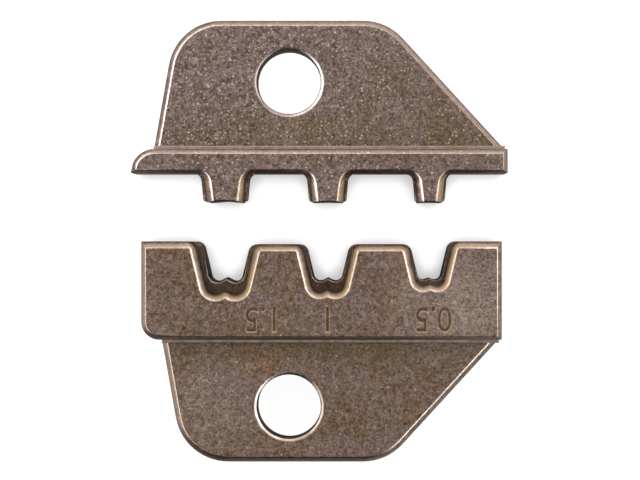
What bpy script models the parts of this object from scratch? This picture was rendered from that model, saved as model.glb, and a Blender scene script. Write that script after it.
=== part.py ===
"""Crimp die pair for a hand crimping tool, lying on its back as it is laid out on a bench.

The crimper half carries three nests, and the anvil half carries three prongs that close into
them. Each half is one piece of steel: a thick crimping head on a thinner mounting tab. The tab
slides between the two side plates of a tool jaw, the head's ledges sit on the edges of those
plates, and a die screw goes through the hole in the tab.

X runs along the die, Y is the closing direction and Z is the thickness, with the side that
faces the bench at Z = 0. Sizes are in millimetres until they are handed to Blender.
"""

import math
from collections import namedtuple

import bmesh
import bpy
from mathutils import Matrix, Vector

MM = 0.001

# The two thicknesses of each half, and the screw hole through its tab
HEAD_THICKNESS = 10.0
TAB_THICKNESS = 5.0
HOLE_DIAMETER = 5.0
HOLE_CHAMFER = 0.33
HOLE_X = -2.4

# The row of crimp stations that both halves share, seen from the front
STATION_PITCH = 8.0
MIDDLE_STATION_X = 0.65
MOUTH_GAP = 5.35
INSULATION_LENGTH = 3.4

# Widths of a station are those beside the tip of a closed prong. The insulation nest opens on
# the front, and the wire nest behind it is narrower by a shoulder on each side, and shallower.
Station = namedtuple(
    "Station", "width depth lobe_radius cusp_slope shoulder wire_depth wire_lobe_radius nose_step cup"
)
STATIONS = (
    Station(
        width=3.6, depth=4.14, lobe_radius=0.75, cusp_slope=math.radians(27), shoulder=0.42,
        wire_depth=3.14, wire_lobe_radius=0.6, nose_step=0.32, cup=0.12,
    ),
    Station(
        width=3.04, depth=3.96, lobe_radius=0.65, cusp_slope=math.radians(27), shoulder=0.3,
        wire_depth=3.1, wire_lobe_radius=0.55, nose_step=0.22, cup=0.04,
    ),
    Station(
        width=2.44, depth=3.42, lobe_radius=0.5, cusp_slope=math.radians(20), shoulder=0.2,
        wire_depth=3.02, wire_lobe_radius=0.5, nose_step=0.18, cup=0.03,
    ),
)
NEST_TAPER = math.radians(13.5)
NEST_LIP_RADIUS = 0.72

# Crimper half, whose head starts a little to the right of the anvil's
CRIMPER_LENGTH = 28.16
CRIMPER_SETBACK = 0.82
CRIMPER_HEAD_HEIGHT = 7.68
CRIMPER_HEEL_RADIUS = 1.4
MIDDLE_LAND_DROP = 0.22
CRIMPER_TAB_SETBACK = 1.5
CRIMPER_TAB_HEIGHT = 9.65
CRIMPER_HOLE_FROM_LEDGE = 5.3

# Anvil half
ANVIL_LENGTH = 29.44
FLANGE_HEIGHT = 1.87
ANVIL_TAB_SETBACK = 1.69
ANVIL_TAB_HEIGHT = 10.15
ANVIL_HOLE_FROM_LEDGE = 5.3
PRONG_LENGTH = 2.3
PRONG_TAPER = math.radians(5)
PRONG_ROOT_RADIUS = 0.7
PRONG_TIP_RADIUS = 0.22
PRONG_CLEARANCE = 0.06
INSULATION_PRONG_SHORTER = 0.06
NOSE_LENGTH = 1.4

# The tab outline: a nearly upright edge, a long slanted edge and two large round corners
TAB_LEAN = math.radians(10)
TAB_SLANT = math.radians(42.5)
TAB_CORNER_RADIUS = 4.2
TAB_END_MARGIN = 0.14
TAB_BEVEL = 0.47

# The low step along the root of each tab, where it meets the ledge
FOOT_WIDTH = 0.26
FOOT_HEIGHT = 0.14

# Bevels around the two faces of each head: on the lands and nests, on the prongs, and elsewhere
NEST_BEVEL = 0.6
PRONG_BEVEL = 0.5
EDGE_BEVEL = 0.42

# Where the two heads end, with the anvil half centred on the origin
ANVIL_LEFT = -ANVIL_LENGTH / 2
ANVIL_RIGHT = ANVIL_LENGTH / 2
CRIMPER_LEFT = ANVIL_LEFT + CRIMPER_SETBACK
CRIMPER_RIGHT = CRIMPER_LEFT + CRIMPER_LENGTH

ARC_STEP = math.radians(11)
ROOT_FLARE = math.radians(20)
SPARE = 0.6
HOLE_STEPS = 64
WELD_DISTANCE = 0.002 * MM
SAME_PLACE = 0.001
FLAT_ANGLE = math.radians(1)
SMOOTH_ANGLE = math.radians(25)
RIM_ANGLE = math.radians(60)


def clear_scene():
    for thing in list(bpy.data.objects):
        bpy.data.objects.remove(thing, do_unlink=True)


def new_collection(name):
    made = bpy.data.collections.new(name)
    bpy.context.scene.collection.children.link(made)
    return made


def steel(name, colour, roughness):
    material = bpy.data.materials.new(name)
    material.use_nodes = True
    shader = material.node_tree.nodes["Principled BSDF"]
    shader.inputs["Base Color"].default_value = (*colour, 1.0)
    shader.inputs["Roughness"].default_value = roughness
    shader.inputs["Metallic"].default_value = 1.0
    return material


def new_object(name, data, group):
    made = bpy.data.objects.new(name, data)
    group.objects.link(made)
    return made


def as_tool(thing):
    """Marks an object that only shapes another one."""
    thing.hide_render = True
    thing.display_type = "WIRE"
    return thing


def boolean(target, operand, operation):
    step = target.modifiers.new(operand.name, "BOOLEAN")
    step.operation = operation
    step.object = operand
    step.solver = "EXACT"


def evaluated_mesh(thing):
    """A copy of the object's mesh with its modifiers applied, welded, and with flat faces whole."""
    bpy.context.view_layer.update()
    evaluated = thing.evaluated_get(bpy.context.evaluated_depsgraph_get())
    mesh = bpy.data.meshes.new_from_object(evaluated)
    shape = bmesh.new()
    shape.from_mesh(mesh)
    bmesh.ops.remove_doubles(shape, verts=shape.verts, dist=WELD_DISTANCE)
    bmesh.ops.dissolve_limit(shape, angle_limit=FLAT_ANGLE, verts=shape.verts, edges=shape.edges)
    shape.to_mesh(mesh)
    shape.free()
    return mesh


# Outlines are lists of points in the plane, anticlockwise

def arc(x, y, radius, start, end):
    """Points on a circle from one angle to another, both in radians."""
    steps = max(1, math.ceil(abs(end - start) / ARC_STEP))
    angles = [start + (end - start) * step / steps for step in range(steps + 1)]
    return [(x + radius * math.cos(angle), y + radius * math.sin(angle)) for angle in angles]


def mirrored(points, middle):
    """The same stretch on the other side of a station's centre line, read the other way."""
    return [(2 * middle - x, y) for x, y in reversed(points)]


def beyond(points, top):
    """Where the last edge of an outline, drawn on, reaches a height."""
    (x, y), (end_x, end_y) = points[-2:]
    return (end_x + (end_x - x) * (top - end_y) / (end_y - y), top)


def rounded_corner(before, corner, after, radius):
    """An arc that joins two straight edges of an outline."""
    spot = Vector(corner)
    arriving = (spot - Vector(before)).normalized()
    leaving = (Vector(after) - spot).normalized()
    turn = math.atan2(arriving.x * leaving.y - arriving.y * leaving.x, arriving.dot(leaving))
    side = math.copysign(1.0, turn)
    inward = Vector((-arriving.y, arriving.x)) * side
    centre = spot - arriving * radius * math.tan(abs(turn) / 2) + inward * radius
    start = math.atan2(-inward.y, -inward.x)
    return arc(centre.x, centre.y, radius, start, start + turn)


def flat_plate(name, outline, bottom, top, group):
    """A flat outline given a thickness, from one height to another."""
    curve = bpy.data.curves.new(name, "CURVE")
    curve.dimensions = "2D"
    curve.fill_mode = "BOTH"
    curve.extrude = (top - bottom) / 2 * MM
    spline = curve.splines.new("POLY")
    spline.points.add(len(outline) - 1)
    for point, (x, y) in zip(spline.points, outline):
        point.co = (x * MM, y * MM, 0.0, 1.0)
    spline.use_cyclic_u = True
    drawn = new_object(name + "_outline", curve, group)
    drawn.location.z = (bottom + top) / 2 * MM
    plate = new_object(name, evaluated_mesh(drawn), group)
    plate.matrix_world = drawn.matrix_world
    bpy.data.objects.remove(drawn, do_unlink=True)
    return plate


# The three stations

def station_x(index):
    return MIDDLE_STATION_X + (index - 1) * STATION_PITCH


def nest_side(middle, half_width, depth, lobe_radius, cusp_slope, land):
    """The right half of a nest's outline, from the cusp on its floor up past the land.

    A tapered wall runs into one of two round lobes. The slopes between the lobes meet in the
    central cusp, which parts the wings of a terminal and curls them over. At the lip the wall
    rounds off to the land, and the last edge is drawn on until it is clear of the steel.
    """
    def wall(at_depth):
        return half_width + (PRONG_LENGTH - at_depth) * math.tan(NEST_TAPER)

    lobe_x = middle + wall(depth - lobe_radius) - lobe_radius / math.cos(NEST_TAPER)
    lobe = arc(lobe_x, lobe_radius - depth, lobe_radius, 1.5 * math.pi - cusp_slope, 2 * math.pi - NEST_TAPER)
    slope_x, slope_y = lobe[0]
    cusp = (middle, slope_y + (slope_x - middle) * math.tan(cusp_slope))
    lip_y = land - NEST_LIP_RADIUS
    lip_x = middle + wall(-lip_y) + NEST_LIP_RADIUS / math.cos(NEST_TAPER)
    lip = arc(lip_x, lip_y, NEST_LIP_RADIUS, math.pi - NEST_TAPER, math.pi / 2)
    return [cusp] + lobe + lip[:-1] + [beyond(lip, land + SPARE)]


def nest_outline(index, half_width, depth, lobe_radius):
    middle = station_x(index)
    left_land = 0.0 if index == 0 else -MIDDLE_LAND_DROP
    right_land = 0.0 if index == len(STATIONS) - 1 else -MIDDLE_LAND_DROP
    slope = STATIONS[index].cusp_slope
    right = nest_side(middle, half_width, depth, lobe_radius, slope, right_land)
    left = nest_side(middle, half_width, depth, lobe_radius, slope, left_land)
    return right + mirrored(left, middle)[:-1]


def crimper_block(group):
    """The plain block of the crimper head. Its two middle lands lie a little below its ends."""
    foot_right = (CRIMPER_RIGHT, -CRIMPER_HEAD_HEIGHT)
    first, last = station_x(0), station_x(len(STATIONS) - 1)
    outline = rounded_corner(
        (CRIMPER_LEFT, 0.0), (CRIMPER_LEFT, -CRIMPER_HEAD_HEIGHT), foot_right, CRIMPER_HEEL_RADIUS
    )
    outline += [foot_right, (CRIMPER_RIGHT, 0.0)]
    outline += [(last, 0.0), (last, -MIDDLE_LAND_DROP), (first, -MIDDLE_LAND_DROP), (first, 0.0)]
    outline.append((CRIMPER_LEFT, 0.0))
    return flat_plate("crimper_block", outline, 0.0, HEAD_THICKNESS, group)


def crimper_head(tools):
    """Insulation nests open on the front of the block, and wire nests run through behind them."""
    block = as_tool(crimper_block(tools))
    shoulder = HEAD_THICKNESS - INSULATION_LENGTH
    for index, station in enumerate(STATIONS):
        half = station.width / 2
        wire = nest_outline(index, half - station.shoulder, station.wire_depth, station.wire_lobe_radius)
        insulation = nest_outline(index, half, station.depth, station.lobe_radius)
        for name, outline, bottom in (("wire_nest", wire, -SPARE), ("insulation_nest", insulation, shoulder)):
            nest = flat_plate(f"{name}_{index}", outline, bottom, HEAD_THICKNESS + SPARE, tools)
            boolean(block, as_tool(nest), "DIFFERENCE")
    return block


def crimper_rim(x, y):
    """The bevel beside a point of the crimper's outline: wider on the lands and in the nests."""
    inside = CRIMPER_LEFT + SAME_PLACE < x < CRIMPER_RIGHT - SAME_PLACE
    return NEST_BEVEL if inside and y > CRIMPER_HEEL_RADIUS - CRIMPER_HEAD_HEIGHT else EDGE_BEVEL


# The anvil's prongs

def prong_side(middle, half_width, length, cup, tip_radius):
    """The right half of a prong's outline, from the middle of its end up into the flange."""
    def side(at_depth):
        return half_width + (length - at_depth) * math.tan(PRONG_TAPER)

    root_x = middle + side(PRONG_ROOT_RADIUS) + PRONG_ROOT_RADIUS / math.cos(PRONG_TAPER)
    root = arc(root_x, -PRONG_ROOT_RADIUS, PRONG_ROOT_RADIUS, math.pi - PRONG_TAPER, math.pi / 2 + ROOT_FLARE)
    end = (middle, cup - length)
    corner = (middle + half_width, -length)
    tip = rounded_corner(end, corner, root[0], tip_radius) if tip_radius else [corner]
    return [end] + tip + root + [beyond(root, FLANGE_HEIGHT / 2)]


def prong_outline(index, half_width, length, tip_radius):
    middle = station_x(index)
    right = prong_side(middle, half_width, length, STATIONS[index].cup, tip_radius)
    return right + mirrored(right, middle)[:-1]


def flange_block(group):
    """The flange. Its heel ends in one longer straight edge, so that the bevels have room there."""
    heel = (ANVIL_LEFT, FLANGE_HEIGHT)
    outline = [(ANVIL_LEFT, 0.0), (ANVIL_RIGHT, 0.0), (ANVIL_RIGHT, FLANGE_HEIGHT)]
    outline += rounded_corner(outline[-1], heel, outline[0], FLANGE_HEIGHT)[:-2]
    return flat_plate("flange_block", outline, 0.0, HEAD_THICKNESS, group)


def anvil_head(tools):
    """Wire anvils at the back, insulation anvils in front of them, and a narrower nose in front."""
    block = as_tool(flange_block(tools))
    nose_back = HEAD_THICKNESS - NOSE_LENGTH
    wire_front = HEAD_THICKNESS - INSULATION_LENGTH
    inner = NOSE_LENGTH / 4
    for index, station in enumerate(STATIONS):
        half = station.width / 2 - PRONG_CLEARANCE
        wire = prong_outline(index, half - station.shoulder, PRONG_LENGTH, 0.0)
        insulation = prong_outline(index, half, PRONG_LENGTH - INSULATION_PRONG_SHORTER, PRONG_TIP_RADIUS)
        nose = prong_outline(index, half - station.nose_step, PRONG_LENGTH, 0.0)
        for name, outline, bottom, top in (
            ("wire_anvil", wire, 0.0, wire_front + inner),
            ("insulation_anvil", insulation, wire_front, nose_back),
            ("anvil_nose", nose, nose_back - inner, HEAD_THICKNESS),
        ):
            prong = flat_plate(f"{name}_{index}", outline, bottom, top, tools)
            boolean(block, as_tool(prong), "UNION")
    return block


def anvil_rim(x, y):
    """The bevel beside a point of the anvil's outline: wider under the flange and on the prongs."""
    return PRONG_BEVEL if x < ANVIL_RIGHT - SAME_PLACE and y < SAME_PLACE else EDGE_BEVEL


# Mounting tabs

def tab_plate(name, left, right, height, away, tools):
    """A plate that leaves its ledge in the direction `away`, +1 or -1."""
    far = away * height
    root = -away * SPARE
    far_left = (left + height * math.tan(TAB_LEAN), far)
    far_right = (right - height * math.tan(TAB_SLANT), far)
    outline = [(left, root), (left, 0.0)]
    outline += rounded_corner((left, 0.0), far_left, far_right, TAB_CORNER_RADIUS)
    outline += rounded_corner(far_left, far_right, (right, 0.0), TAB_CORNER_RADIUS)
    outline += [(right, 0.0), (right, root)]
    bottom = (HEAD_THICKNESS - TAB_THICKNESS) / 2
    return flat_plate(name, outline, bottom, bottom + TAB_THICKNESS, tools)


def tab_foot(name, left, right, away, tools):
    """The low step that runs along the root of the tab on both of its faces."""
    depth = FOOT_WIDTH + SPARE / 2
    size = Vector((right - left, depth, TAB_THICKNESS + 2 * FOOT_HEIGHT)) * MM
    shape = bmesh.new()
    bmesh.ops.create_cube(shape, size=1.0, matrix=Matrix.Diagonal((*size, 1.0)))
    mesh = bpy.data.meshes.new(name)
    shape.to_mesh(mesh)
    shape.free()
    foot = new_object(name, mesh, tools)
    foot.location = Vector(((left + right) / 2, away * (FOOT_WIDTH - depth / 2), HEAD_THICKNESS / 2)) * MM
    return foot


def add_tab(block, label, left, right, height, ledge, tools):
    """Joins a tab and its foot to the block of a head, at its ledge."""
    away = math.copysign(1, ledge)
    plate = tab_plate(label + "_tab", left, right, height, away, tools)
    foot = tab_foot(label + "_foot", left, right, away, tools)
    for piece in (plate, foot):
        piece.location.y += ledge * MM
        boolean(block, as_tool(piece), "UNION")


def hole_cutter(name, x, y, tools):
    """The turned screw hole, which flares at both faces of the tab into its chamfer."""
    half = TAB_THICKNESS / 2
    radius = HOLE_DIAMETER / 2
    flared = radius + HOLE_CHAMFER + SPARE
    profile = [
        (0.0, half + SPARE),
        (flared, half + SPARE),
        (radius, half - HOLE_CHAMFER),
        (radius, HOLE_CHAMFER - half),
        (flared, -half - SPARE),
        (0.0, -half - SPARE),
    ]
    mesh = bpy.data.meshes.new(name)
    points = [(r * MM, 0.0, z * MM) for r, z in profile]
    mesh.from_pydata(points, [(i, i + 1) for i in range(len(points) - 1)], [])
    cutter = new_object(name, mesh, tools)
    turned = cutter.modifiers.new("turned", "SCREW")
    turned.axis = "Z"
    turned.steps = HOLE_STEPS
    turned.render_steps = HOLE_STEPS
    turned.use_merge_vertices = True
    turned.merge_threshold = WELD_DISTANCE
    cutter.location = Vector((x, y, HEAD_THICKNESS / 2)) * MM
    return as_tool(cutter)


# Finished halves

def edge_width(edge, rim):
    """The bevel of an edge, by where it lies; 0 unless it runs around a face of the head or tab."""
    height, other = (vert.co.z / MM for vert in edge.verts)
    if abs(height - other) > SAME_PLACE or edge.calc_face_angle_signed(0.0) < RIM_ANGLE:
        return 0.0
    if abs(abs(height) - TAB_THICKNESS / 2) < SAME_PLACE:
        return TAB_BEVEL
    middle = (edge.verts[0].co + edge.verts[1].co) / 2 / MM
    return rim(middle.x, middle.y) if abs(abs(height) - HEAD_THICKNESS / 2) < SAME_PLACE else 0.0


def bevelled(name, block, rim, group):
    """The shaped block as one half, with its edges bevelled by their place."""
    mesh = evaluated_mesh(block)
    shape = bmesh.new()
    shape.from_mesh(mesh)
    widths = [edge_width(edge, rim) for edge in shape.edges]
    widest = max(widths)
    weight = shape.edges.layers.float.new("bevel_weight_edge")
    for edge, width in zip(shape.edges, widths):
        edge[weight] = width / widest
    shape.to_mesh(mesh)
    shape.free()
    half = new_object(name, mesh, group)
    half.location = block.location
    rims = half.modifiers.new("rims", "BEVEL")
    rims.limit_method = "WEIGHT"
    rims.width = widest * MM
    rims.segments = 1
    rims.use_clamp_overlap = False
    return half


def finish(half, hole_y, mating_y, material, tools):
    """Bores the screw hole, puts the half in its place along the closing direction and colours it."""
    hole = hole_cutter(half.name + "_hole", HOLE_X, hole_y, tools)
    boolean(half, hole, "DIFFERENCE")
    for piece in (half, hole):
        piece.location.y += mating_y * MM
    half.data.materials.append(material)
    half.data.shade_smooth()
    half.data.set_sharp_from_angle(angle=SMOOTH_ANGLE)


def main():
    clear_scene()
    die_pair = new_collection("crimp_die_pair")
    tools = new_collection("crimp_die_cutters")

    # The pair is centred on the origin, which sets the height of the crimper's end lands
    lowest = -CRIMPER_HEAD_HEIGHT - CRIMPER_TAB_HEIGHT
    highest = MOUTH_GAP + FLANGE_HEIGHT + ANVIL_TAB_HEIGHT
    land_y = -(lowest + highest) / 2

    head = crimper_head(tools)
    left = CRIMPER_LEFT + CRIMPER_TAB_SETBACK
    right = CRIMPER_RIGHT - TAB_END_MARGIN
    add_tab(head, "crimper", left, right, CRIMPER_TAB_HEIGHT, -CRIMPER_HEAD_HEIGHT, tools)
    crimper = bevelled("crimper_die", head, crimper_rim, die_pair)
    hole_y = -CRIMPER_HEAD_HEIGHT - CRIMPER_HOLE_FROM_LEDGE
    finish(crimper, hole_y, land_y, steel("crimper_steel", (0.21, 0.165, 0.135), 0.45), tools)

    head = anvil_head(tools)
    left = ANVIL_LEFT + ANVIL_TAB_SETBACK
    right = ANVIL_RIGHT - TAB_END_MARGIN
    add_tab(head, "anvil", left, right, ANVIL_TAB_HEIGHT, FLANGE_HEIGHT, tools)
    anvil = bevelled("anvil_die", head, anvil_rim, die_pair)
    hole_y = FLANGE_HEIGHT + ANVIL_HOLE_FROM_LEDGE
    finish(anvil, hole_y, land_y + MOUTH_GAP, steel("anvil_steel", (0.23, 0.18, 0.15), 0.5), tools)


main()
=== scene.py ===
"""The looks of a crimp die pair: two loose halves of hardened steel laid out on a white bench."""

import math

import bmesh
import bpy
from mathutils import Matrix, Vector


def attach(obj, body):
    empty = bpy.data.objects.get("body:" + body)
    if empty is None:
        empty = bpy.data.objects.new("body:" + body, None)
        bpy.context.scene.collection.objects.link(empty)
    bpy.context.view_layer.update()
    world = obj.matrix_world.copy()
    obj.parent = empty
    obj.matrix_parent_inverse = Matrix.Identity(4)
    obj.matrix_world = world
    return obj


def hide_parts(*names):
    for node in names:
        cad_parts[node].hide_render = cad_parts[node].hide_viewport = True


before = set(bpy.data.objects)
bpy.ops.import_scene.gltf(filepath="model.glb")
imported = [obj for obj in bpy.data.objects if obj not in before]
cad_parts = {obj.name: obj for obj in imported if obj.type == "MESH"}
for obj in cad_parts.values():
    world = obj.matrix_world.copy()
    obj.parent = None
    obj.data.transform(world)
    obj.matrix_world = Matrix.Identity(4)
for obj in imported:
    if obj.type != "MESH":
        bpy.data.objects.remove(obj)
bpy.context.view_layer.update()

MM = 0.001


# Anvil half

# One piece of hardened steel: a mounting tab, a flange and three prongs that press a terminal
# into the nests. It is blasted before hardening, so its faces are finely pitted; glints on them are
# painted.

THICKNESS = 10.0
TAB_BOTTOM, TAB_TOP = 2.5, 7.5
TAB_LEAN = math.radians(10)
TAB_SLANT = math.radians(42.5)
TAB_CORNER = 4.2
HOLE_X = -2.4
HOLE_RADIUS = 2.5
HOLE_CHAMFER = 0.33
HOLE_ROUND_OUT = 0.05
HOLE_ROUND_DOWN = 0.17
FOOT_WIDTH = 0.3
FOOT_HEIGHT = 0.14
FOOT_BEVEL = 0.06
EDGE_BEVEL = 0.42
TAB_BEVEL = 0.47

# The tab's slanting side stops a little short of the end of its head
TAB_SHORTER = 0.14

# How far a plate reaches past the face at which it is joined or cut
CLEAR = 0.6

# The height on the bench of the flange's lower side, from which the anvil half is drawn
ANVIL_Y = 5.33
ANVIL_LEFT, ANVIL_RIGHT = -14.72, 14.72
FLANGE_HEIGHT = 1.87
HEEL_TRIM = math.radians(24)
ANVIL_TAB_LEFT = -13.03
ANVIL_TAB_HEIGHT = 10.15
HOLE_FROM_LEDGE = 5.3
PRONG_X = (-7.35, 0.65, 8.65)
PRONG_LENGTH = 2.3
PRONG_TAPER = math.radians(5)
PRONG_ROOT = 0.7
ROOT_FLARE = math.radians(20)
PRONG_BEVEL = 0.58
UNDER_BEVEL = 0.32
STEP_BEVEL = 0.08
STEP_BEVEL_START = 0.1
TIP_BEVEL = 0.1

# Each prong is narrow up to the first height, wide up to the second and ends in a nose
WIRE_FRONT = 6.7
NOSE_BACK = 8.6
SECTION_OVERLAP = 0.35
WIDE_SHORTER = 0.06
WIDE_TIP_ROUND = 0.22

# Each prong's half widths behind, in the middle and at its nose, and the hollow of its end
PRONGS = ((1.32, 1.74, 1.42, 0.12), (1.16, 1.46, 1.24, 0.04), (0.96, 1.16, 0.98, 0.03))

# How finely arcs and rims are drawn, which points and faces count as one, and what is smooth
ARC_STEP = math.radians(6)
HOLE_STEPS = 120
SAME_PLACE = 0.001
DRAWN_WELD = 0.0005
FLAT_ANGLE = math.radians(0.5)
RIM_ANGLE = math.radians(60)
RIM_SEGMENTS = 8
RIM_PROFILE = 0.4
SMOOTH_ANGLE = math.radians(38)


def draw(shape, moves):
    """Draws a line of straight runs to (x, y), arcs about (x, y, turn) and runs on to a height (y,)."""
    first = tip = shape.verts.new((moves[0][0] * MM, moves[0][1] * MM, 0.0))
    for move in moves[1:]:
        if len(move) == 3:
            x, y, turn = move
            turned = bmesh.ops.spin(
                shape, geom=[tip], cent=(x * MM, y * MM, 0.0), axis=(0.0, 0.0, 1.0), dvec=(0.0, 0.0, 0.0),
                angle=turn, steps=max(1, math.ceil(abs(turn) / ARC_STEP)), use_duplicate=False,
            )
            tip = [part for part in turned["geom_last"] if isinstance(part, bmesh.types.BMVert)][0]
            continue
        if len(move) == 1:
            run = tip.co - tip.link_edges[0].other_vert(tip).co
            move = ((tip.co.x + run.x * (move[0] * MM - tip.co.y) / run.y) / MM, move[0])
        tip = bmesh.ops.extrude_vert_indiv(shape, verts=[tip])["verts"][0]
        tip.co = (move[0] * MM, move[1] * MM, 0.0)
    return first, tip


def across(moves, middle):
    """The same line on the other side of an upright through the middle."""
    other_side = []
    for move in moves:
        if len(move) > 1:
            move = (2 * middle - move[0], move[1], *(-turn for turn in move[2:]))
        other_side.append(move)
    return other_side


def corner(before, spot, after, radius):
    """A run up to a rounded corner between two straight runs, and the arc around it."""
    arriving = (Vector(spot) - Vector(before)).normalized()
    leaving = (Vector(after) - Vector(spot)).normalized()
    turn = math.atan2(arriving.x * leaving.y - arriving.y * leaving.x, arriving.dot(leaving))
    start = Vector(spot) - arriving * radius * math.tan(abs(turn) / 2)
    centre = start + Vector((-arriving.y, arriving.x)) * math.copysign(radius, turn)
    return [tuple(start), (centre.x, centre.y, turn)]


def standing(name, shape):
    """The object of a finished shape."""
    mesh = bpy.data.meshes.new(name)
    shape.to_mesh(mesh)
    shape.free()
    made = bpy.data.objects.new(name, mesh)
    bpy.context.scene.collection.objects.link(made)
    return made


def plate(name, lines, bottom, top):
    """A plate whose outline is one line, or two lines from the same start, closed by a last run."""
    shape = bmesh.new()
    ends = [draw(shape, moves) for moves in lines]
    bmesh.ops.contextual_create(shape, geom=[ends[0][1], ends[1][1] if len(ends) > 1 else ends[0][0]])
    bmesh.ops.remove_doubles(shape, verts=shape.verts, dist=DRAWN_WELD * MM)
    outline = bmesh.ops.contextual_create(shape, geom=shape.edges)["faces"]
    raised = bmesh.ops.extrude_face_region(shape, geom=outline)["geom"]
    lifted = [part for part in raised if isinstance(part, bmesh.types.BMVert)]
    bmesh.ops.translate(shape, verts=lifted, vec=(0.0, 0.0, (top - bottom) * MM))
    bmesh.ops.translate(shape, verts=shape.verts, vec=(0.0, 0.0, bottom * MM))
    bmesh.ops.recalc_face_normals(shape, faces=shape.faces)
    return standing(name, shape)


def worked(piece, tools, how, whole_faces=True):
    """Joins tools to the piece, or cuts with them, and clears up the faces."""
    for tool in tools:
        step = piece.modifiers.new(tool.name, "BOOLEAN")
        step.operation = how
        step.object = tool
        step.solver = "MANIFOLD"
    settled(piece, whole_faces)
    for tool in tools:
        bpy.data.objects.remove(tool, do_unlink=True)


def shape_as_seen(thing):
    """The mesh of an object with its modifiers, or of a text or curve."""
    bpy.context.view_layer.update()
    return bpy.data.meshes.new_from_object(thing.evaluated_get(bpy.context.evaluated_depsgraph_get()))


def settled(piece, whole_faces):
    """Applies the piece's modifiers, and can make its flat faces whole."""
    done = shape_as_seen(piece)
    piece.modifiers.clear()
    shape = bmesh.new()
    shape.from_mesh(done)
    bmesh.ops.remove_doubles(shape, verts=shape.verts, dist=SAME_PLACE * MM)
    if whole_faces:
        bmesh.ops.dissolve_limit(shape, angle_limit=FLAT_ANGLE, verts=shape.verts, edges=shape.edges)
    shape.to_mesh(done)
    shape.free()
    piece.data = done


def bevelled(piece, width_at):
    """Bevels edges by their place, with a flat that rounds off into both faces."""
    shape = bmesh.new()
    shape.from_mesh(piece.data)
    widths = [width_at(edge) for edge in shape.edges]
    weight = shape.edges.layers.float.new("bevel_weight_edge")
    for edge, width in zip(shape.edges, widths):
        edge[weight] = width / max(widths)
    shape.to_mesh(piece.data)
    shape.free()
    rims = piece.modifiers.new("rims", "BEVEL")
    rims.limit_method = "WEIGHT"
    rims.width = max(widths) * MM
    rims.segments = RIM_SEGMENTS
    rims.profile = RIM_PROFILE
    rims.use_clamp_overlap = False
    settled(piece, whole_faces=False)


def on_rim(edge, bottom, top):
    """Whether an edge runs around the front or back face of a plate."""
    first, second = (vert.co.z / MM for vert in edge.verts)
    level = abs(first - second) < SAME_PLACE
    outermost = min(abs(first - bottom), abs(first - top)) < SAME_PLACE
    return level and outermost and edge.calc_face_angle_signed(0.0) > RIM_ANGLE


def tab(name, left, right, height, away, ledge):
    """A mounting tab and its foot: `away` is +1 or -1, the way in which it leaves its head."""
    far_left = (left + height * math.tan(TAB_LEAN), away * height)
    far_right = (right - height * math.tan(TAB_SLANT), away * height)
    line = [(left, -away * CLEAR), (left, 0.0)]
    line += corner(line[-1], far_left, far_right, TAB_CORNER)
    line += corner(far_left, far_right, (right, 0.0), TAB_CORNER)
    line += [(right, 0.0), (right, -away * CLEAR)]
    made = plate(name, [line], TAB_BOTTOM, TAB_TOP)
    inner, outer = -away * CLEAR / 2, away * FOOT_WIDTH
    foot_line = [(left, inner), (left, outer), (right, outer), (right, inner)]
    foot = plate(name + "_foot", [foot_line], TAB_BOTTOM - FOOT_HEIGHT, TAB_TOP + FOOT_HEIGHT)
    for piece in (made, foot):
        piece.data.transform(Matrix.Translation((0.0, ledge * MM, 0.0)))
    return made, foot


def tab_width(edge):
    """The bevel of an edge of the tab or its foot, and nothing for other edges."""
    if on_rim(edge, TAB_BOTTOM, TAB_TOP):
        return TAB_BEVEL
    return FOOT_BEVEL if on_rim(edge, TAB_BOTTOM - FOOT_HEIGHT, TAB_TOP + FOOT_HEIGHT) else 0.0


def screw_hole(name, y):
    """The drill for a screw hole: its profile is turned, and flares at both faces of the tab."""
    shape = bmesh.new()
    middle = (TAB_BOTTOM + TAB_TOP) / 2
    half = (TAB_TOP - TAB_BOTTOM) / 2
    mouth = [(HOLE_ROUND_OUT, -HOLE_ROUND_DOWN), (0.0, -HOLE_CHAMFER)]
    flare = [(HOLE_CHAMFER + CLEAR, CLEAR), (HOLE_CHAMFER, 0.0)] + mouth
    upper = [(HOLE_RADIUS + out, half + up) for out, up in flare]
    lower = [(x, -z) for x, z in reversed(upper)]
    draw(shape, [(0.0, half + CLEAR)] + upper + lower + [(0.0, -half - CLEAR)])
    upright = Matrix.Rotation(math.pi / 2, 3, "X")
    bmesh.ops.rotate(shape, verts=shape.verts, cent=(0.0, 0.0, 0.0), matrix=upright)
    bmesh.ops.spin(
        shape, geom=shape.verts[:] + shape.edges[:], cent=(0.0, 0.0, 0.0), axis=(0.0, 0.0, 1.0),
        dvec=(0.0, 0.0, 0.0), angle=2 * math.pi, steps=HOLE_STEPS, use_merge=True, use_duplicate=False,
    )
    bmesh.ops.remove_doubles(shape, verts=shape.verts, dist=DRAWN_WELD * MM)
    bmesh.ops.recalc_face_normals(shape, faces=shape.faces)
    bmesh.ops.translate(shape, verts=shape.verts, vec=(HOLE_X * MM, y * MM, middle * MM))
    return standing(name, shape)


def prong_side(middle, half_width, length, hollow, tip_round):
    """One side of a prong, from the middle of its end round its root into the flange."""
    def side(depth):
        return half_width + (length - depth) * math.tan(PRONG_TAPER)

    root_x = middle + side(PRONG_ROOT) + PRONG_ROOT / math.cos(PRONG_TAPER)
    reach = Vector((-math.cos(PRONG_TAPER), math.sin(PRONG_TAPER))) * PRONG_ROOT
    root_start = (root_x + reach.x, reach.y - PRONG_ROOT)
    end = (middle, hollow - length)
    tip = (middle + half_width, -length)
    line = [end] + (corner(end, tip, root_start, tip_round) if tip_round else [tip])
    turn = ROOT_FLARE + PRONG_TAPER - math.pi / 2
    return line + [root_start, (root_x, -PRONG_ROOT, turn), (FLANGE_HEIGHT / 2,)]


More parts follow.
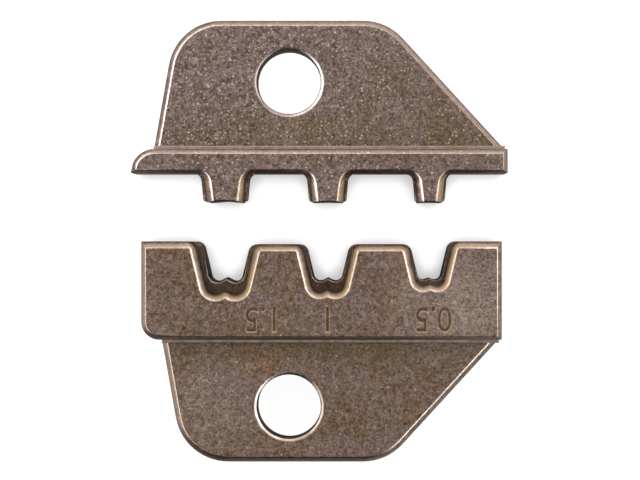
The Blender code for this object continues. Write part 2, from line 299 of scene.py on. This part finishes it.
heel = (ANVIL_LEFT, FLANGE_HEIGHT)
line = [(ANVIL_LEFT, 0.0), (ANVIL_RIGHT, 0.0), (ANVIL_RIGHT, FLANGE_HEIGHT)]
start, (turn_x, turn_y, turn) = corner(line[-1], heel, line[0], FLANGE_HEIGHT)
line += [start, (turn_x, turn_y, turn - HEEL_TRIM)]
anvil = plate("anvil", [line], 0.0, THICKNESS)
prongs = []
for number, (middle, (wire_half, wide_half, nose_half, hollow)) in enumerate(zip(PRONG_X, PRONGS)):
    for name, half, shorter, tip_round, bottom, top in (
        ("wire", wire_half, 0.0, 0.0, 0.0, WIRE_FRONT + SECTION_OVERLAP),
        ("wide", wide_half, WIDE_SHORTER, WIDE_TIP_ROUND, WIRE_FRONT, NOSE_BACK),
        ("nose", nose_half, 0.0, 0.0, NOSE_BACK - SECTION_OVERLAP, THICKNESS),
    ):
        side = prong_side(middle, half, PRONG_LENGTH - shorter, hollow, tip_round)
        prongs.append(plate(f"{name}_prong_{number}", [side, across(side, middle)], bottom, top))
worked(anvil, prongs, "UNION")


def anvil_width(edge):
    """The bevel of an edge of the anvil: wide on the prongs, and narrow under the flange."""
    middle = (edge.verts[0].co + edge.verts[1].co) / 2 / MM
    if on_rim(edge, NOSE_BACK, WIRE_FRONT):
        return STEP_BEVEL if middle.y < -PRONG_ROOT - STEP_BEVEL_START else 0.0
    if not on_rim(edge, 0.0, THICKNESS):
        return tab_width(edge)
    if middle.y > SAME_PLACE or middle.x > ANVIL_RIGHT - SAME_PLACE:
        return EDGE_BEVEL
    if middle.y < PRONG_ROOT / 2 - PRONG_LENGTH:
        return TIP_BEVEL
    return UNDER_BEVEL + (PRONG_BEVEL - UNDER_BEVEL) * min(-middle.y / PRONG_ROOT, 1.0)


anvil_tab = tab("anvil_tab", ANVIL_TAB_LEFT, ANVIL_RIGHT - TAB_SHORTER, ANVIL_TAB_HEIGHT, 1, FLANGE_HEIGHT)
worked(anvil, anvil_tab, "UNION")
bevelled(anvil, anvil_width)
worked(anvil, [screw_hole("anvil_hole", FLANGE_HEIGHT + HOLE_FROM_LEDGE)], "DIFFERENCE", whole_faces=False)
anvil.data.transform(Matrix.Translation((0.0, ANVIL_Y * MM, 0.0)))


def effect(name, inputs, outputs):
    """An empty node group with named inputs (name: value) and outputs (name: kind)."""
    tree = bpy.data.node_groups.new(name, "ShaderNodeTree")
    for label, value in inputs.items():
        kind = "NodeSocketColor" if isinstance(value, tuple) else "NodeSocketFloat"
        tree.interface.new_socket(label, in_out="INPUT", socket_type=kind).default_value = value
    for label, kind in outputs.items():
        tree.interface.new_socket(label, in_out="OUTPUT", socket_type=kind)
    return tree, tree.nodes.new("NodeGroupInput"), tree.nodes.new("NodeGroupOutput")


def node(tree, kind, links=None, **settings):
    """Adds a node, with its settings and with values or links for its inputs."""
    made = tree.nodes.new(kind)
    for name, value in settings.items():
        setattr(made, name, value)
    for name, value in (links or {}).items():
        if isinstance(value, bpy.types.NodeSocket):
            tree.links.new(value, made.inputs[name])
        else:
            made.inputs[name].default_value = value
    return made


def ramp(tree, value, low, high, start=0.0, end=1.0):
    """A smooth step of a value between two levels."""
    step = node(
        tree, "ShaderNodeMapRange",
        {"Value": value, "From Min": low, "From Max": high, "To Min": start, "To Max": end},
        interpolation_type="SMOOTHSTEP",
    )
    return step.outputs["Result"]


def maths(tree, operation, first, second=0.0, third=0.0):
    """One calculation with up to three values."""
    values = {0: first, 1: second, 2: third}
    return node(tree, "ShaderNodeMath", values, operation=operation).outputs["Value"]


def blended(tree, how, amount, below, above):
    """Two colours mixed by an amount, which may be a mask."""
    mix = node(tree, "ShaderNodeMix", {0: amount, 6: below, 7: above}, data_type="RGBA", blend_type=how)
    return mix.outputs[2]


def without(tree, mask):
    """Where a mask doesn't hold."""
    return maths(tree, "SUBTRACT", 1.0, mask)


def all_of(tree, *masks):
    """Where all the masks hold."""
    held = masks[0]
    for mask in masks[1:]:
        held = maths(tree, "MULTIPLY", held, mask)
    return held


# Blast grain: small pits, and a few broken facets that get a painted glint. Pit and Facet are
# their sizes in millimetres, and Share is the part of the facets with a painted glint. A glint has a
# bright core and a least reach, which chance can double, both as parts of its cell.
FACET_CORE, FACET_REACH = 0.14, 0.22

grain, given, made = effect(
    "blast_grain",
    {"Pit": 0.17, "Facet": 0.27, "Share": 0.1},
    {"Tone": "NodeSocketFloat", "PaintedGlint": "NodeSocketFloat", "Height": "NodeSocketFloat"},
)
place = node(grain, "ShaderNodeTexCoord").outputs["Object"]
per_pit = maths(grain, "DIVIDE", 1.0 / MM, given.outputs["Pit"])
per_facet = maths(grain, "DIVIDE", 1.0 / MM, given.outputs["Facet"])
pits = node(
    grain, "ShaderNodeTexNoise", {"Vector": place, "Scale": per_pit, "Detail": 3.0, "Roughness": 0.65}
).outputs["Fac"]
facets = node(grain, "ShaderNodeTexVoronoi", {"Vector": place, "Scale": per_facet})
chance = node(grain, "ShaderNodeSeparateColor", {"Color": facets.outputs["Color"]}).outputs
cells = node(grain, "ShaderNodeTexVoronoi", {"Vector": place, "Scale": per_pit})
cell = node(grain, "ShaderNodeSeparateColor", {"Color": cells.outputs["Color"]}).outputs["Red"]
half_tone = maths(grain, "MULTIPLY", ramp(grain, pits, 0.35, 0.65), 0.5)
tone = maths(grain, "MULTIPLY_ADD", cell, 0.5, half_tone)
chosen = maths(grain, "GREATER_THAN", chance["Red"], without(grain, given.outputs["Share"]))
reach = maths(grain, "MULTIPLY_ADD", chance["Green"], FACET_REACH, FACET_REACH)
middle = node(
    grain, "ShaderNodeMapRange",
    {"Value": facets.outputs["Distance"], "From Min": reach, "From Max": FACET_CORE},
).outputs["Result"]
broken = ramp(grain, pits, 0.4, 0.58, 0.3, 1.0)
bright = ramp(grain, chance["Blue"], 0.0, 1.25)
grain.links.new(tone, made.inputs["Tone"])
grain.links.new(all_of(grain, chosen, middle, bright, broken), made.inputs["PaintedGlint"])
grain.links.new(pits, made.inputs["Height"])

# Patches: cloudy variation for stains and uneven oxide, with its Size in millimetres
patches, given, made = effect("patches", {"Size": 2.0, "Shift": 0.0}, {"Amount": "NodeSocketFloat"})
place = node(patches, "ShaderNodeTexCoord").outputs["Object"]
cloud = node(
    patches, "ShaderNodeTexNoise",
    {
        "Vector": place, "W": given.outputs["Shift"], "Detail": 4.0, "Roughness": 0.6, "Distortion": 0.4,
        "Scale": maths(patches, "DIVIDE", 1.0 / MM, given.outputs["Size"]),
    },
    noise_dimensions="4D",
).outputs["Fac"]
patches.links.new(ramp(patches, cloud, 0.36, 0.64), made.inputs["Amount"])

# Tilt: where the surface turns from a flat face over a rounded edge and a bevel to an upright wall,
# where it leans to the lit side, which gets painted light, and where it leans towards -Y, which gets
# painted shade. Side is 1 or -1, the way along X in which the lit side looks. Each pair of values
# says how upright the normal is, or how far it leans, where the next state begins and where it is full.
TO_EDGE = (0.996, 0.98)
TO_BEVEL = (0.88, 0.8)
TO_WALL = (0.5, 0.35)
TO_LIT_SIDE = (-0.12, 0.25)
TO_UNDER = (-0.15, -0.5)

tilt, given, made = effect(
    "tilt", {"Side": 1.0},
    {
        "Edge": "NodeSocketFloat", "Bevel": "NodeSocketFloat", "Wall": "NodeSocketFloat",
        "LitSide": "NodeSocketFloat", "Under": "NodeSocketFloat",
    },
)
normal = node(tilt, "ShaderNodeTexCoord").outputs["Normal"]
lean = node(tilt, "ShaderNodeSeparateXYZ", {"Vector": normal}).outputs
rise = maths(tilt, "ABSOLUTE", lean["Z"])
sideways = maths(tilt, "MULTIPLY", lean["X"], given.outputs["Side"])
before_bevel = ramp(tilt, rise, *reversed(TO_BEVEL))
before_wall = ramp(tilt, rise, *reversed(TO_WALL))
tilt.links.new(ramp(tilt, sideways, *TO_LIT_SIDE), made.inputs["LitSide"])
tilt.links.new(ramp(tilt, lean["Y"], *TO_UNDER), made.inputs["Under"])
tilt.links.new(all_of(tilt, ramp(tilt, rise, *TO_EDGE), before_bevel), made.inputs["Edge"])
tilt.links.new(all_of(tilt, ramp(tilt, rise, *TO_BEVEL), before_wall), made.inputs["Bevel"])
tilt.links.new(ramp(tilt, rise, *TO_WALL), made.inputs["Wall"])


def placed(tree, group, **values):
    """An effect put into a material with its own values."""
    return node(tree, "ShaderNodeGroup", values, node_tree=group).outputs


def band(tree, value, low, high, soft):
    """Where a value in millimetres lies between two levels, with soft ends."""
    rising = ramp(tree, value, (low - soft) * MM, (low + soft) * MM)
    return all_of(tree, rising, ramp(tree, value, (high + soft) * MM, (high - soft) * MM))


def oval(tree, place, x, y, reach_x, reach_y):
    """A soft oval spot that fades out at its reach."""
    shifted = node(tree, "ShaderNodeVectorMath", {0: place, 1: (x * MM, y * MM, 0.0)}, operation="SUBTRACT")
    scale = (1 / (reach_x * MM), 1 / (reach_y * MM), 0.0)
    shifted = shifted.outputs["Vector"]
    scaled = node(tree, "ShaderNodeVectorMath", {0: shifted, 1: scale}, operation="MULTIPLY")
    far = node(tree, "ShaderNodeVectorMath", {0: scaled.outputs["Vector"]}, operation="LENGTH")
    return ramp(tree, far.outputs["Value"], 1.0, 0.3)


# Size and shift of the broad, the middling and the small patches
PATCHES = ((2.6, 1.0), (1.1, 9.0), (0.5, 5.0))

# Stretches in millimetres: along X where painted glints get fewer, along X and Z where the nests and
# prongs lie, along X where the numbers lie, and under the front face where their sides and beds lie
FEWER_GLINTS = (1.0, 11.0)
NEST_ROW = (-12.5, 12.5)
NEST_WALLS = (0.75, 9.25)
NUMBER_ROW = (-12.0, 12.0)
NUMBER_SIDES = (0.005, 0.02)
NUMBER_BEDS = (0.07, 0.12)
FOOT_HIGHLIGHT_REACH = 0.04
BUMP_DEPTH = 0.02

# How strongly stains and specks show on faces, how much of the grit shows on bevels, and how far
# a bevel's painted light and the tan on edges in the nests and on the prongs cover what is under them
STAINS, SPECKS = 0.4, 0.5
GRIT_ON_BEVELS = 0.35
BEVEL_COVER = 0.85
TAN_ON_NEST_EDGES = 0.4

# How much darker edges are painted on the side away from the light, as painted shade, and bevels where they
# are browner
UNLIT_EDGE_SHADE, BROWNED = 0.75, 0.62

# How far roughness varies from place to place, and how much smoother worn steel is
ROUGHNESS_VARIES = 0.1
POLISH = 0.14

# Painted colours: shade under bevels that look towards -Y, glints, shade deep in the nests and on the
# prongs, light on the sides of the stamped numbers and shade in their beds
PAINTED_UNDER_SHADE = (0.25, 0.175, 0.14, 1.0)
PAINTED_GLINT = (1.0, 0.89, 0.83, 1.0)
PAINTED_NEST_SHADE = (0.045, 0.03, 0.019, 1.0)
NUMBER_SIDE_LIGHT = (0.66, 0.51, 0.36, 1.0)
NUMBER_BED_SHADE = (0.085, 0.053, 0.03, 1.0)


def darker(colour, factor):
    """A colour of less brightness."""
    return (*(factor * part for part in colour[:3]), 1.0)


def steel(name, tints, grit_depth, glint_amount, roughness, lit_side, spots, hollow, stamped=None):
    """Blasted and hardened steel with painted light and shade on bevels, edges, nests and numbers: `hollow`
    and `stamped` are the stretches of nests and numbers in Y.
    """
    material = bpy.data.materials.new(name)
    material.use_nodes = True
    tree = material.node_tree
    shader = tree.nodes["Principled BSDF"]
    place = node(tree, "ShaderNodeTexCoord").outputs["Object"]
    spot = node(tree, "ShaderNodeSeparateXYZ", {"Vector": place}).outputs
    slope = placed(tree, tilt, Side=lit_side)
    broad, middling, small = (
        placed(tree, patches, Size=size, Shift=shift)["Amount"] for size, shift in PATCHES
    )

    # Painted glints come in clusters, and there are fewer of them at the small stations
    share = maths(tree, "MULTIPLY_ADD", broad, glint_amount, glint_amount / 2)
    fewer = ramp(tree, spot["X"], FEWER_GLINTS[0] * MM, FEWER_GLINTS[1] * MM, 1.0, 0.45)
    grit = placed(tree, grain, Share=maths(tree, "MULTIPLY", share, fewer))

    # Faces are cloudy with oxide, have stained or rubbed spots of their own, and are speckled
    colour = blended(tree, "MIX", broad, tints["face"], tints["dark"])
    colour = blended(tree, "MIX", maths(tree, "MULTIPLY", middling, STAINS), colour, tints["dark"])
    colour = blended(tree, "MIX", maths(tree, "MULTIPLY", small, SPECKS), colour, tints["light"])
    for x, y, reach_x, reach_y, tint, strength in spots:
        uneven = ramp(tree, broad, 0.0, 1.0, 0.4 * strength, strength)
        amount = all_of(tree, oval(tree, place, x, y, reach_x, reach_y), uneven)
        colour = blended(tree, "MIX", amount, colour, tint)
    tone = maths(tree, "MULTIPLY_ADD", grit["Tone"], grit_depth, 1.0 - grit_depth / 2)
    channels = {"Red": tone, "Green": tone, "Blue": tone}
    shades = node(tree, "ShaderNodeCombineColor", channels).outputs["Color"]
    colour = blended(tree, "MULTIPLY", 1.0, colour, shades)

    # Edges get a painted highlight on the lit side and painted shade on the other, and bevels on the lit
    # side are mottled browner
    rim = blended(tree, "MIX", slope["LitSide"], darker(tints["bevel"], UNLIT_EDGE_SHADE), tints["edge"])
    browner = maths(tree, "MULTIPLY", slope["LitSide"], ramp(tree, small, 1.4, -0.2))
    flank = blended(tree, "MIX", browner, tints["bevel"], darker(tints["bevel"], BROWNED))
    flank = blended(tree, "MULTIPLY", GRIT_ON_BEVELS, flank, shades)

    # In the nests and on the prongs the bevels are painted tan, and the edges there are toned towards it
    in_row = band(tree, spot["X"], *NEST_ROW, 0.3)
    working = all_of(tree, band(tree, spot["Y"], *hollow, 0.15), in_row)
    speckled = maths(tree, "MULTIPLY", slope["LitSide"], ramp(tree, grit["Tone"], 0.35, 0.75, 1.0, 0.35))
    tan_on_nest_bevels = all_of(tree, working, without(tree, speckled))
    flank = blended(tree, "MIX", tan_on_nest_bevels, flank, tints["tan_in_nests"])
    rim = blended(tree, "MIX", maths(tree, "MULTIPLY", working, TAN_ON_NEST_EDGES), rim, tints["tan_in_nests"])
    # Bevels are painted paler than the faces, and rounded edges get the painted edge highlight
    colour = blended(tree, "MIX", maths(tree, "MULTIPLY", slope["Bevel"], BEVEL_COVER), colour, flank)
    edge_highlight = maths(tree, "MULTIPLY", slope["Edge"], ramp(tree, small, 0.0, 1.0, 0.6, 0.95))
    colour = blended(tree, "MIX", edge_highlight, colour, rim)

    # Bevels that look towards -Y get painted shade, but hardly so in the nests and on the prongs
    under_shade = maths(tree, "MULTIPLY", slope["Under"], without(tree, slope["LitSide"]))
    under_shade = maths(tree, "MULTIPLY", under_shade, maths(tree, "MULTIPLY_ADD", working, -0.9, 1.0))
    colour = blended(tree, "MIX", under_shade, colour, PAINTED_UNDER_SHADE)
    # Facets of the grain get a painted glint, but not on walls
    glint_mask = maths(tree, "MULTIPLY", grit["PaintedGlint"], without(tree, slope["Wall"]))
    glint_mask = maths(tree, "MULTIPLY", glint_mask, min(1.0, 0.5 + glint_amount))
    colour = blended(tree, "MIX", glint_mask, colour, PAINTED_GLINT)

    # The top of the tab's foot gets a painted highlight, and the nests and prongs get painted shade deep
    # down, most on walls and less on the lit side
    foot = TAB_TOP + FOOT_HEIGHT
    on_foot = band(tree, spot["Z"], foot - FOOT_HIGHLIGHT_REACH, foot + FOOT_HIGHLIGHT_REACH, 0.01)
    foot_highlight = all_of(tree, on_foot, ramp(tree, small, -1.6, 1.2))
    foot_highlight = maths(tree, "MULTIPLY", foot_highlight, maths(tree, "SUBTRACT", 0.7, slope["Wall"]))
    colour = blended(tree, "MIX", foot_highlight, colour, tints["bevel"])
    deep = all_of(tree, working, band(tree, spot["Z"], *NEST_WALLS, 0.15))
    nest_shade_mask = maths(tree, "MULTIPLY", deep, maths(tree, "MULTIPLY_ADD", slope["Wall"], 0.3, 0.5))
    nest_shade_mask = maths(tree, "MULTIPLY", nest_shade_mask, maths(tree, "MULTIPLY_ADD", slope["LitSide"], -0.4, 1.0))
    colour = blended(tree, "MIX", nest_shade_mask, colour, PAINTED_NEST_SHADE)

    # Stamped numbers get painted light on their sides and painted shade in their beds
    if stamped:
        row = all_of(tree, band(tree, spot["Y"], *stamped, 0.05), band(tree, spot["X"], *NUMBER_ROW, 0.1))
        sides = ramp(tree, spot["Z"], *((THICKNESS - depth) * MM for depth in NUMBER_SIDES))
        sides = all_of(tree, row, slope["Bevel"], sides, ramp(tree, small, 0.0, 1.0, 0.5, 0.95))
        colour = blended(tree, "MIX", sides, colour, NUMBER_SIDE_LIGHT)
        beds = ramp(tree, spot["Z"], *((THICKNESS - depth) * MM for depth in NUMBER_BEDS))
        beds = maths(tree, "MULTIPLY", all_of(tree, row, beds), 0.75)
        colour = blended(tree, "MIX", beds, colour, NUMBER_BED_SHADE)

    tree.links.new(colour, shader.inputs["Base Color"])
    shader.inputs["Metallic"].default_value = 1.0
    rough = maths(tree, "MULTIPLY_ADD", small, ROUGHNESS_VARIES, roughness)
    polish = maths(tree, "MULTIPLY", maths(tree, "ADD", slope["Edge"], glint_mask), POLISH)
    tree.links.new(maths(tree, "SUBTRACT", rough, polish), shader.inputs["Roughness"])
    relief = {"Strength": 0.5, "Distance": BUMP_DEPTH * MM, "Height": grit["Height"]}
    tree.links.new(node(tree, "ShaderNodeBump", relief).outputs["Normal"], shader.inputs["Normal"])
    return material


# Spots on faces: middle in X and Y, reach in X and Y, tint and strength
OLIVE = (0.19, 0.135, 0.08, 1.0)
ANVIL_SPOTS = (
    (4.0, 8.2, 26.0, 3.0, OLIVE, 0.8),
    (9.5, 12.5, 12.0, 7.0, OLIVE, 0.6),
)
# Tints: face, light and dark are the steel's own clouds; bevel and edge are painted light on bevels and
# rounded edges; the last is the tan of the bevels in the nests and on the prongs
ANVIL_TINTS = {
    "face": (0.238, 0.175, 0.155, 1.0),
    "light": (0.38, 0.295, 0.27, 1.0),
    "dark": (0.175, 0.122, 0.099, 1.0),
    "edge": (0.92, 0.82, 0.76, 1.0),
    "bevel": (0.55, 0.44, 0.39, 1.0),
    "tan_in_nests": (0.7, 0.52, 0.33, 1.0),
}
anvil_steel = steel(
    "anvil_steel_blasted", ANVIL_TINTS, grit_depth=1.25, glint_amount=0.8, roughness=0.36, lit_side=-1.0,
    spots=ANVIL_SPOTS, hollow=(2.0, 5.2),
)


def finished(piece, material, body, solid):
    """Smooths the bevels and arcs, and puts the piece in the place of its plain solid."""
    piece.data.shade_smooth()
    piece.data.set_sharp_from_angle(angle=SMOOTH_ANGLE)
    flats = piece.modifiers.new("flats", "WEIGHTED_NORMAL")
    flats.keep_sharp = True
    piece.data.materials.clear()
    piece.data.materials.append(material)
    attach(piece, body)
    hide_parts(solid)


finished(anvil, anvil_steel, "anvil_half", "anvil_die")


# Crimper half

# The matching piece of steel, with three stepped nests between lands. It is smoother than the
# anvil half, and cloudy where the hardening oil has stained it.

# The height on the bench of the end lands, from which the crimper half is drawn
CRIMPER_Y = -0.02
CRIMPER_LEFT, CRIMPER_RIGHT = -13.9, 14.26
HEAD_HEIGHT = 7.68
CRIMPER_HEEL = 1.4
LAND_DROP = 0.22
CRIMPER_TAB_LEFT = -12.4
CRIMPER_TAB_HEIGHT = 9.65
NEST_X = PRONG_X
NEST_TAPER = math.radians(13.5)
NEST_LIP = 0.72
LIP_OVERRUN = math.radians(5)
NEST_BEVEL = 0.6
BOTTOM_BEVEL = 0.32
SHOULDER_Z = 6.6
SHOULDER_BEVELS = (0.2, 0.15, 0.1)

# Each nest's half width, depth, lobe radius and slope to its cusp: in front, and behind
FRONT_NESTS = ((1.8, 4.14, 0.75, 27), (1.52, 3.96, 0.65, 27), (1.22, 3.42, 0.5, 20))
WIRE_NESTS = ((1.38, 3.14, 0.6, 27), (1.22, 3.1, 0.55, 27), (1.02, 3.02, 0.5, 20))


def nest_side(middle, half_width, depth, lobe, slope, land):
    """One side of a nest: from its cusp round a lobe, up the tapered wall and over the lip."""
    def wall(height):
        return half_width + (PRONG_LENGTH - height) * math.tan(NEST_TAPER)

    slope = math.radians(slope)
    lobe_x = middle + wall(depth - lobe) - lobe / math.cos(NEST_TAPER)
    start = (lobe_x - lobe * math.sin(slope), lobe - depth - lobe * math.cos(slope))
    cusp = (middle, start[1] + (start[0] - middle) * math.tan(slope))
    lip_y = land - NEST_LIP
    lip_x = middle + wall(-lip_y) + NEST_LIP / math.cos(NEST_TAPER)
    lip_start = (lip_x - NEST_LIP * math.cos(NEST_TAPER), lip_y + NEST_LIP * math.sin(NEST_TAPER))
    over = NEST_TAPER - math.pi / 2 + LIP_OVERRUN
    return [
        cusp, start, (lobe_x, lobe - depth, math.pi / 2 - NEST_TAPER + slope),
        lip_start, (lip_x, lip_y, over), (land + CLEAR,),
    ]


heel = (CRIMPER_LEFT, -HEAD_HEIGHT)
line = corner((CRIMPER_LEFT, 0.0), heel, (CRIMPER_RIGHT, -HEAD_HEIGHT), CRIMPER_HEEL)
line += [(CRIMPER_RIGHT, -HEAD_HEIGHT), (CRIMPER_RIGHT, 0.0), (NEST_X[2], 0.0), (NEST_X[2], -LAND_DROP)]
line += [(NEST_X[0], -LAND_DROP), (NEST_X[0], 0.0), (CRIMPER_LEFT, 0.0)]
crimper = plate("crimper", [line], 0.0, THICKNESS)
nests = []
for number, (middle, front, behind) in enumerate(zip(NEST_X, FRONT_NESTS, WIRE_NESTS)):
    left_land = 0.0 if number == 0 else -LAND_DROP
    right_land = 0.0 if number == 2 else -LAND_DROP
    for name, sizes, bottom in (("wire_nest", behind, -CLEAR), ("front_nest", front, SHOULDER_Z)):
        right = nest_side(middle, *sizes, right_land)
        left = across(nest_side(middle, *sizes, left_land), middle)
        nests.append(plate(f"{name}_{number}", [right, left], bottom, THICKNESS + CLEAR))
worked(crimper, nests, "DIFFERENCE")


def crimper_width(edge):
    """The bevel of an edge of the crimper: wider on the lands and in the nests."""
    middle = (edge.verts[0].co + edge.verts[1].co) / 2 / MM
    if on_rim(edge, SHOULDER_Z, SHOULDER_Z):
        nest = min(range(3), key=lambda number: abs(NEST_X[number] - middle.x))
        return SHOULDER_BEVELS[nest] if middle.y < -LAND_DROP - NEST_LIP else 0.0
    if not on_rim(edge, 0.0, THICKNESS):
        return tab_width(edge)
    if middle.y < SAME_PLACE - HEAD_HEIGHT:
        return BOTTOM_BEVEL
    inside = CRIMPER_LEFT + SAME_PLACE < middle.x < CRIMPER_RIGHT - SAME_PLACE
    return NEST_BEVEL if inside and middle.y > CRIMPER_HEEL - HEAD_HEIGHT else EDGE_BEVEL


crimper_tab = tab(
    "crimper_tab", CRIMPER_TAB_LEFT, CRIMPER_RIGHT - TAB_SHORTER, CRIMPER_TAB_HEIGHT, -1, -HEAD_HEIGHT
)
worked(crimper, crimper_tab, "UNION")
bevelled(crimper, crimper_width)


# Wire sizes, stamped under the nests so that they read from the tab's side
NUMBERS = (("1.5", -4.4), ("1", NEST_X[1]), ("0.5", NEST_X[2] + 0.25))
NUMBER_HEIGHT = 1.95
NUMBER_Y = -6.0
NUMBER_DEPTH = 0.13
NUMBER_THIN = 0.05
NUMBER_NARROW = 0.9
NUMBER_ABOVE = 0.01
LETTER_SIZE_PER_HEIGHT = 1 / 0.71

stamps = []
for text, middle in NUMBERS:
    letters = bpy.data.curves.new("size_" + text, "FONT")
    letters.body = text
    letters.size = NUMBER_HEIGHT * LETTER_SIZE_PER_HEIGHT * MM
    letters.align_x = "CENTER"
    letters.align_y = "CENTER"
    letters.bevel_depth = NUMBER_DEPTH * MM
    letters.bevel_resolution = 0
    letters.offset = -NUMBER_THIN * MM
    letters.resolution_u = 4
    drawn = bpy.data.objects.new("size_" + text, letters)
    bpy.context.scene.collection.objects.link(drawn)
    outline = shape_as_seen(drawn)
    bpy.data.objects.remove(drawn, do_unlink=True)
    shape = bmesh.new()
    shape.from_mesh(outline)
    bmesh.ops.remove_doubles(shape, verts=shape.verts, dist=SAME_PLACE * MM)
    bmesh.ops.recalc_face_normals(shape, faces=shape.faces)
    spot = Matrix.Translation((middle * MM, NUMBER_Y * MM, (THICKNESS + NUMBER_ABOVE) * MM))
    turned = Matrix.Rotation(math.pi, 4, "Z")
    narrowed = Matrix.Diagonal((NUMBER_NARROW, 1.0, 1.0, 1.0))
    shape.transform(spot @ turned @ narrowed)
    stamps.append(standing("stamp_" + text, shape))
drill = screw_hole("crimper_hole", -HEAD_HEIGHT - HOLE_FROM_LEDGE)
worked(crimper, [drill] + stamps, "DIFFERENCE", whole_faces=False)
crimper.data.transform(Matrix.Translation((0.0, CRIMPER_Y * MM, 0.0)))

RUST = (0.31, 0.17, 0.085, 1.0)
RUBBED = (0.4, 0.315, 0.27, 1.0)
CRIMPER_SPOTS = (
    (10.5, -4.5, 6.5, 6.0, RUBBED, 0.65),
    (2.0, -8.6, 18.0, 2.2, OLIVE, 0.6),
    (-4.9, -9.8, 2.4, 1.5, RUST, 0.45),
    (-8.0, -12.5, 5.0, 4.5, RUBBED, 0.35),
)
# Tints: face, light and dark are the steel's own clouds; bevel and edge are painted light on bevels and
# rounded edges; the last is the tan of the bevels in the nests and on the prongs
CRIMPER_TINTS = {
    "face": (0.205, 0.146, 0.13, 1.0),
    "light": (0.32, 0.232, 0.19, 1.0),
    "dark": (0.155, 0.103, 0.055, 1.0),
    "edge": (0.92, 0.82, 0.75, 1.0),
    "bevel": (0.66, 0.53, 0.43, 1.0),
    "tan_in_nests": (0.53, 0.395, 0.26, 1.0),
}
crimper_steel = steel(
    "crimper_steel_oiled", CRIMPER_TINTS, grit_depth=1.1, glint_amount=0.1, roughness=0.4, lit_side=1.0,
    spots=CRIMPER_SPOTS, hollow=(-4.6, -0.35), stamped=(-7.25, -4.95),
)
finished(crimper, crimper_steel, "crimper_half", "crimper_die")


# Bench, light and camera

# A white bench top in a pale studio with three long soft lamps. Most light comes from behind the
# anvil half and from the sides, so that bevels turned to the near side of the bench stay dark.

BENCH_GREY = (0.35, 0.35, 0.35, 1.0)

floor_shape = bmesh.new()
bmesh.ops.create_grid(floor_shape, x_segments=1, y_segments=1, size=1.0)
floor_mesh = bpy.data.meshes.new("bench_top")
floor_shape.to_mesh(floor_mesh)
floor_shape.free()
bench = bpy.data.objects.new("bench_top", floor_mesh)
bpy.context.scene.collection.objects.link(bench)
white = bpy.data.materials.new("white_bench")
white.use_nodes = True
paint = white.node_tree.nodes["Principled BSDF"]
paint.inputs["Base Color"].default_value = BENCH_GREY
paint.inputs["Roughness"].default_value = 0.9
paint.inputs["Specular IOR Level"].default_value = 0.0
paint.inputs["Emission Color"].default_value = (1.0, 1.0, 1.0, 1.0)

# The bench glows for the camera, with a painted shadow close to a piece and on its lower right, and
# hardly lights the pieces. Open is the part of the surroundings that a place on the bench sees.
SHADE_REACH = 1.4
OPEN_SIDE = (-0.55, 0.45, 0.7)
LEAST_OPEN, MOST_OPEN = 0.35, 0.9
SHADED_GLOW, FULL_GLOW = 0.46, 0.9
GLOW_ON_PIECES = 0.05
nearness = {"Distance": SHADE_REACH * MM, "Normal": OPEN_SIDE}
close = node(white.node_tree, "ShaderNodeAmbientOcclusion", nearness)
seen = node(white.node_tree, "ShaderNodeLightPath").outputs["Is Camera Ray"]
shade = ramp(white.node_tree, close.outputs["AO"], LEAST_OPEN, MOST_OPEN, SHADED_GLOW, FULL_GLOW)
glow = maths(white.node_tree, "MULTIPLY_ADD", seen, shade, GLOW_ON_PIECES)
white.node_tree.links.new(glow, paint.inputs["Emission Strength"])
floor_mesh.materials.append(white)

# The studio is dark on the near side of the bench and bright behind the anvil half
NEAR_SKY, FAR_SKY = 0.05, 1.1
WARM_WALLS = (1.0, 0.8, 0.66, 1.0)
PALE_CEILING = (1.0, 0.97, 0.96, 1.0)

world = bpy.data.worlds.new("studio")
bpy.context.scene.world = world
world.use_nodes = True
sky = world.node_tree
background = sky.nodes["Background"]
way = node(sky, "ShaderNodeSeparateXYZ", {"Vector": node(sky, "ShaderNodeTexCoord").outputs["Generated"]})
across_bench = ramp(sky, way.outputs["Y"], -0.7, 0.75, NEAR_SKY, FAR_SKY)
brightness = maths(sky, "MULTIPLY", across_bench, ramp(sky, way.outputs["Z"], 0.0, 0.7, 0.9, 1.0))
sky.links.new(brightness, background.inputs["Strength"])
haze = blended(sky, "MIX", ramp(sky, way.outputs["Z"], 0.0, 0.7), WARM_WALLS, PALE_CEILING)
sky.links.new(haze, background.inputs["Color"])


def soft_box(name, direction, distance, width, height, radiance):
    """A soft rectangular lamp that looks at the middle of the bench."""
    data = bpy.data.lights.new(name, "AREA")
    data.shape = "RECTANGLE"
    data.size = width
    data.size_y = height
    data.energy = radiance * math.pi * width * height
    lamp = bpy.data.objects.new(name, data)
    bpy.context.scene.collection.objects.link(lamp)
    way = Vector(direction).normalized()
    lamp.location = way * distance
    lamp.rotation_euler = (-way).to_track_quat("-Z", "Y").to_euler()


soft_box("left_strip", (-0.65, 0.0, 0.76), distance=0.5, width=0.56, height=0.19, radiance=3.0)
soft_box("far_strip", (0.0, 0.66, 0.75), distance=0.5, width=0.5, height=0.2, radiance=0.7)
soft_box("right_strip", (0.64, -0.12, 0.76), distance=0.5, width=0.62, height=0.19, radiance=2.5)

# The camera hangs over the pair, a little to the right of its middle, and its frame is shifted
# back. The frame's width and middle are measured in millimetres at the height of the front faces.
SENSOR = 36.0
CAMERA_HEIGHT = 340.0
CAMERA_X = 3.2
FRAME_WIDTH = 49.92
FRAME_X, FRAME_Y = 0.065, 0.09

camera_data = bpy.data.cameras.new("camera")
camera_data.sensor_width = SENSOR
camera_data.lens = SENSOR * (CAMERA_HEIGHT - THICKNESS) / FRAME_WIDTH
camera_data.shift_x = (FRAME_X - CAMERA_X) / FRAME_WIDTH
camera_data.clip_start = 0.01
camera = bpy.data.objects.new("camera", camera_data)
camera.location = (CAMERA_X * MM, FRAME_Y * MM, CAMERA_HEIGHT * MM)
bpy.context.scene.collection.objects.link(camera)
bpy.context.scene.camera = camera
bpy.context.scene.view_settings.view_transform = "Standard"
